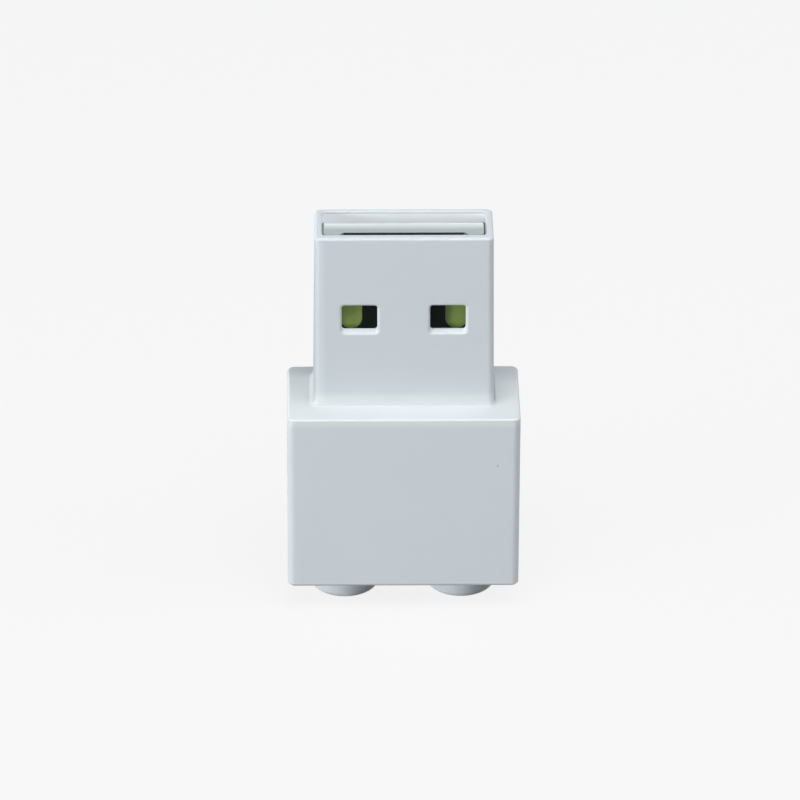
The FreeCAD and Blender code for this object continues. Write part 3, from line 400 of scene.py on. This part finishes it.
# the contacts: gold-coloured spring metal with drawn lines, tinned where the feet are soldered
contactLook = {
    "metal": toLinear(232, 190, 104), "otherMetal": toLinear(214, 168, 84), "solder": toLinear(196, 197, 194),
    "solderTop": 0.01215, "solderEdge": 0.0001, "roughness": (0.2, 0.27), "lineDepth": 0.0000015,
}
contactGold, tree, shader = newFinish("contactGold")
lines = useGroup(tree, drawnLines).outputs["Height"]
x, y, z = axes(tree)
bareFrom = contactLook["solderTop"] + contactLook["solderEdge"]
bare = mapRange(tree, z, contactLook["solderTop"], bareFrom, smooth=True)
metal = mixColours(tree, lines, contactLook["metal"], contactLook["otherMetal"])
tree.links.new(mixColours(tree, bare, contactLook["solder"], metal), shader.inputs["Base Color"])
tree.links.new(mapRange(tree, lines, noiseLow, noiseHigh, *contactLook["roughness"]), shader.inputs["Roughness"])
bumpFrom(tree, shader, lines, contactLook["lineDepth"])
fill(shader, Metallic=1.0)
for name in ("contact_power", "contact_data_minus", "contact_data_plus", "contact_ground"):
    dress(name, contactGold)

# the antenna's copper, seen through the varnish
antennaLook = {
    "copper": toLinear(196, 132, 78), "varnished": toLinear(150, 132, 66), "mottleSize": 900.0,
    "roughness": (0.29, 0.42), "coat": 0.6, "grainDepth": 0.000001, "grainSize": 9000.0,
}
antennaCopper, tree, shader = newFinish("antennaCopper")
surface = useGroup(tree, mouldGrain, Grain_Size=antennaLook["grainSize"], Drift_Size=antennaLook["mottleSize"],
                   Roughness_Low=antennaLook["roughness"][0], Roughness_High=antennaLook["roughness"][1])
tree.links.new(mixColours(tree, surface.outputs["Drift"], antennaLook["copper"], antennaLook["varnished"]),
               shader.inputs["Base Color"])
tree.links.new(surface.outputs["Roughness"], shader.inputs["Roughness"])
bumpFrom(tree, shader, surface.outputs["Height"], antennaLook["grainDepth"])
fill(shader, Metallic=1.0, Coat_Weight=antennaLook["coat"])
dress("printed_antenna", antennaCopper)

# soldered parts: their own body inside a box, tinned metal outside it
partLook = {
    "tin": toLinear(200, 200, 198), "otherTin": toLinear(176, 177, 176), "tinRoughness": 0.3,
    "roughnessDrift": 0.05, "darkerShare": 0.8,
    "grainSize": 16000.0, "grainDepth": 0.000002, "driftSize": 1400.0, "edge": 0.00001,
}
# insets in metres from the sides of the part's own box: left and right, front and back, below and above
noInset = -1                          # far outside the box, so this side is all body
wholeAxis = (noInset, noInset)
allRound = (0.00003, 0.00003)
betweenPins = ((0.0009, 0.0009), wholeAxis, wholeAxis)
betweenCaps = ((0.00028, 0.00028), wholeAxis, wholeAxis)
partBodies = {
    "radio_chip": {"body": (34, 34, 37), "roughness": 0.55, "inset": (allRound, wholeAxis, allRound)},
    "memory_chip": {"body": (36, 36, 38), "roughness": 0.6, "inset": betweenPins},
    "voltage_regulator": {"body": (36, 36, 38), "roughness": 0.6, "inset": betweenPins},
    "crystal": {"body": (206, 198, 178), "roughness": 0.5, "inset": (wholeAxis, (0.00021, noInset), wholeAxis)},
    "antenna_coil": {"body": (110, 122, 134), "roughness": 0.4, "inset": betweenCaps},
}
for number in range(1, 5):
    partBodies["capacitor_%d" % number] = {"body": (188, 150, 104), "roughness": 0.45, "inset": betweenCaps}
for number in range(1, 4):
    partBodies["resistor_%d" % number] = {"body": (30, 31, 36), "roughness": 0.35, "inset": betweenCaps}
for name, body in partBodies.items():
    finish, tree, shader = newFinish(name + "Finish")
    low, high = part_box(name)
    bodyLow = tuple(low[axis] + body["inset"][axis][0] for axis in range(3))
    bodyHigh = tuple(high[axis] - body["inset"][axis][1] for axis in range(3))
    within = boxMask(tree, bodyLow, bodyHigh, partLook["edge"])
    surface = useGroup(tree, mouldGrain, Grain_Size=partLook["grainSize"], Drift_Size=partLook["driftSize"],
                       Roughness_Low=body["roughness"] - partLook["roughnessDrift"],
                       Roughness_High=body["roughness"] + partLook["roughnessDrift"])
    drift = surface.outputs["Drift"]
    bodyColour = toLinear(*body["body"])
    darker = (*(channel * partLook["darkerShare"] for channel in bodyColour[:3]), 1.0)
    toned = mixColours(tree, drift, bodyColour, darker)
    tinned = mixColours(tree, drift, partLook["tin"], partLook["otherTin"])
    tree.links.new(mixColours(tree, within, tinned, toned), shader.inputs["Base Color"])
    tree.links.new(mathNode(tree, "SUBTRACT", 1.0, within), shader.inputs["Metallic"])
    gloss = mapRange(tree, within, 0.0, 1.0, partLook["tinRoughness"], surface.outputs["Roughness"])
    tree.links.new(gloss, shader.inputs["Roughness"])
    bumpFrom(tree, shader, surface.outputs["Height"], partLook["grainDepth"])
    dress(name, finish)
print("board, contacts and soldered parts ready")

studio = {
    "floorSize": 3.0, "floorRoughness": 0.9,
    "floorDepth": (0.35, 0.35, 0.35, 1.0),   # the tone that the lamps light
    "floorColour": toLinear(245, 245, 246),
    "floorGlow": 1.165,                      # lifts the floor back to its colour in the picture
    "shadowShare": 0.2,                      # how much of the floor's tone comes from the lamps
    "fillColour": (0.9, 0.96, 1.0, 1.0), "fillLevel": 0.10,
    "backColour": toLinear(245, 245, 246), "backLevel": 1.0,
}
lampAim = Vector((0.0, 0.0, 0.014))
# place in metres, size in metres, power in watts
lamps = {
    "keySoftbox": {
        "place": (0.0, -0.147, 0.418), "size": (0.34, 0.24), "power": 0.92, "colour": (1.0, 0.99, 0.98)},
    "wideSoftbox": {
        "place": (0.0, -0.169, 0.332), "size": (0.60, 0.22), "power": 0.82, "colour": (1.0, 0.99, 0.99)},
    "leftSoftbox": {
        "place": (-0.368, -0.196, 0.065), "size": (0.24, 0.09), "power": 1.44, "colour": (0.99, 1.0, 1.0)},
    "rightSoftbox": {
        "place": (0.30, -0.06, 0.27), "size": (0.20, 0.20), "power": 0.46, "colour": (0.96, 0.98, 1.0)},
    "backSoftbox": {
        "place": (-0.10, 0.404, 0.045), "size": (0.30, 0.06), "power": 0.45, "colour": (1.0, 1.0, 1.0)},
}
view = {
    "aim": (-0.215, 0.0, 14.273),            # millimetres
    "distance": 400.0,                       # millimetres
    "azimuth": -0.763, "elevation": 28.599, "roll": 0.193,   # degrees
    "scale": 14.685,                         # picture points per millimetre at the aim
    "picture": 800, "sensor": 36.0,
    "clipStart": 0.01, "clipEnd": 10.0,      # metres
}


def cameraSees(tree):
    # 1 for what the camera sees directly, in gloss or through glass
    path = addNode(tree, "ShaderNodeLightPath")
    direct = mathNode(tree, "MAXIMUM", path.outputs["Is Camera Ray"], path.outputs["Is Glossy Ray"])
    return mathNode(tree, "MAXIMUM", direct, path.outputs["Is Transmission Ray"])


mesh = bmesh.new()
bmesh.ops.create_grid(mesh, x_segments=1, y_segments=1, size=studio["floorSize"] / 2)
floorMesh = bpy.data.meshes.new("floor")
mesh.to_mesh(floorMesh)
mesh.free()
floor = bpy.data.objects.new("floor", floorMesh)
bpy.context.scene.collection.objects.link(floor)
floorFinish, tree, shader = newFinish("floorPaper")
fill(shader, Base_Color=studio["floorDepth"], Roughness=studio["floorRoughness"], Specular_IOR_Level=0.0)
paper = fill(addNode(tree, "ShaderNodeEmission"), Color=studio["floorColour"], Strength=studio["floorGlow"])
share = addNode(tree, "ShaderNodeMixShader")
tree.links.new(mathNode(tree, "MULTIPLY", cameraSees(tree), 1 - studio["shadowShare"]), share.inputs[0])
tree.links.new(shader.outputs[0], share.inputs[1])
tree.links.new(paper.outputs[0], share.inputs[2])
tree.links.new(share.outputs[0], tree.nodes["Material Output"].inputs["Surface"])
floorMesh.materials.append(floorFinish)

world = bpy.data.worlds.new("studio")
world.use_nodes = True
bpy.context.scene.world = world
tree = world.node_tree
ambient = tree.nodes["Background"]
fill(ambient, Color=studio["fillColour"], Strength=studio["fillLevel"])
backdrop = fill(addNode(tree, "ShaderNodeBackground"), Color=studio["backColour"], Strength=studio["backLevel"])
share = addNode(tree, "ShaderNodeMixShader")
tree.links.new(cameraSees(tree), share.inputs[0])
tree.links.new(ambient.outputs[0], share.inputs[1])
tree.links.new(backdrop.outputs[0], share.inputs[2])
tree.links.new(share.outputs[0], tree.nodes["World Output"].inputs["Surface"])

for name, lamp in lamps.items():
    light = bpy.data.lights.new(name, "AREA")
    light.shape = "RECTANGLE"
    light.size, light.size_y = lamp["size"]
    light.energy = lamp["power"]
    light.color = lamp["colour"]
    holder = bpy.data.objects.new(name, light)
    holder.location = lamp["place"]
    holder.rotation_mode = "QUATERNION"
    holder.rotation_quaternion = (lampAim - holder.location).to_track_quat("-Z", "Y")
    bpy.context.scene.collection.objects.link(holder)

azimuth, elevation, roll = (math.radians(view[key]) for key in ("azimuth", "elevation", "roll"))
level, high = math.cos(elevation), math.sin(elevation)
back = Vector((math.sin(azimuth) * level, -math.cos(azimuth) * level, high))
right = Vector((math.cos(azimuth), math.sin(azimuth), 0.0))
up = back.cross(right)
across = right * math.cos(roll) + up * math.sin(roll)
upright = up * math.cos(roll) - right * math.sin(roll)
turned = Matrix((across, upright, back)).transposed()
camera = bpy.data.objects.new("camera", bpy.data.cameras.new("camera"))
camera.data.sensor_width = view["sensor"]
camera.data.lens = view["scale"] * view["distance"] * view["sensor"] / view["picture"]
camera.data.clip_start, camera.data.clip_end = view["clipStart"], view["clipEnd"]
camera.rotation_mode = "QUATERNION"
camera.rotation_quaternion = turned.to_quaternion()
camera.location = (Vector(view["aim"]) + back * view["distance"]) * millimetre
bpy.context.scene.collection.objects.link(camera)
bpy.context.scene.camera = camera
bpy.context.scene.view_settings.view_transform = "Standard"
print("floor, lamps and camera set")
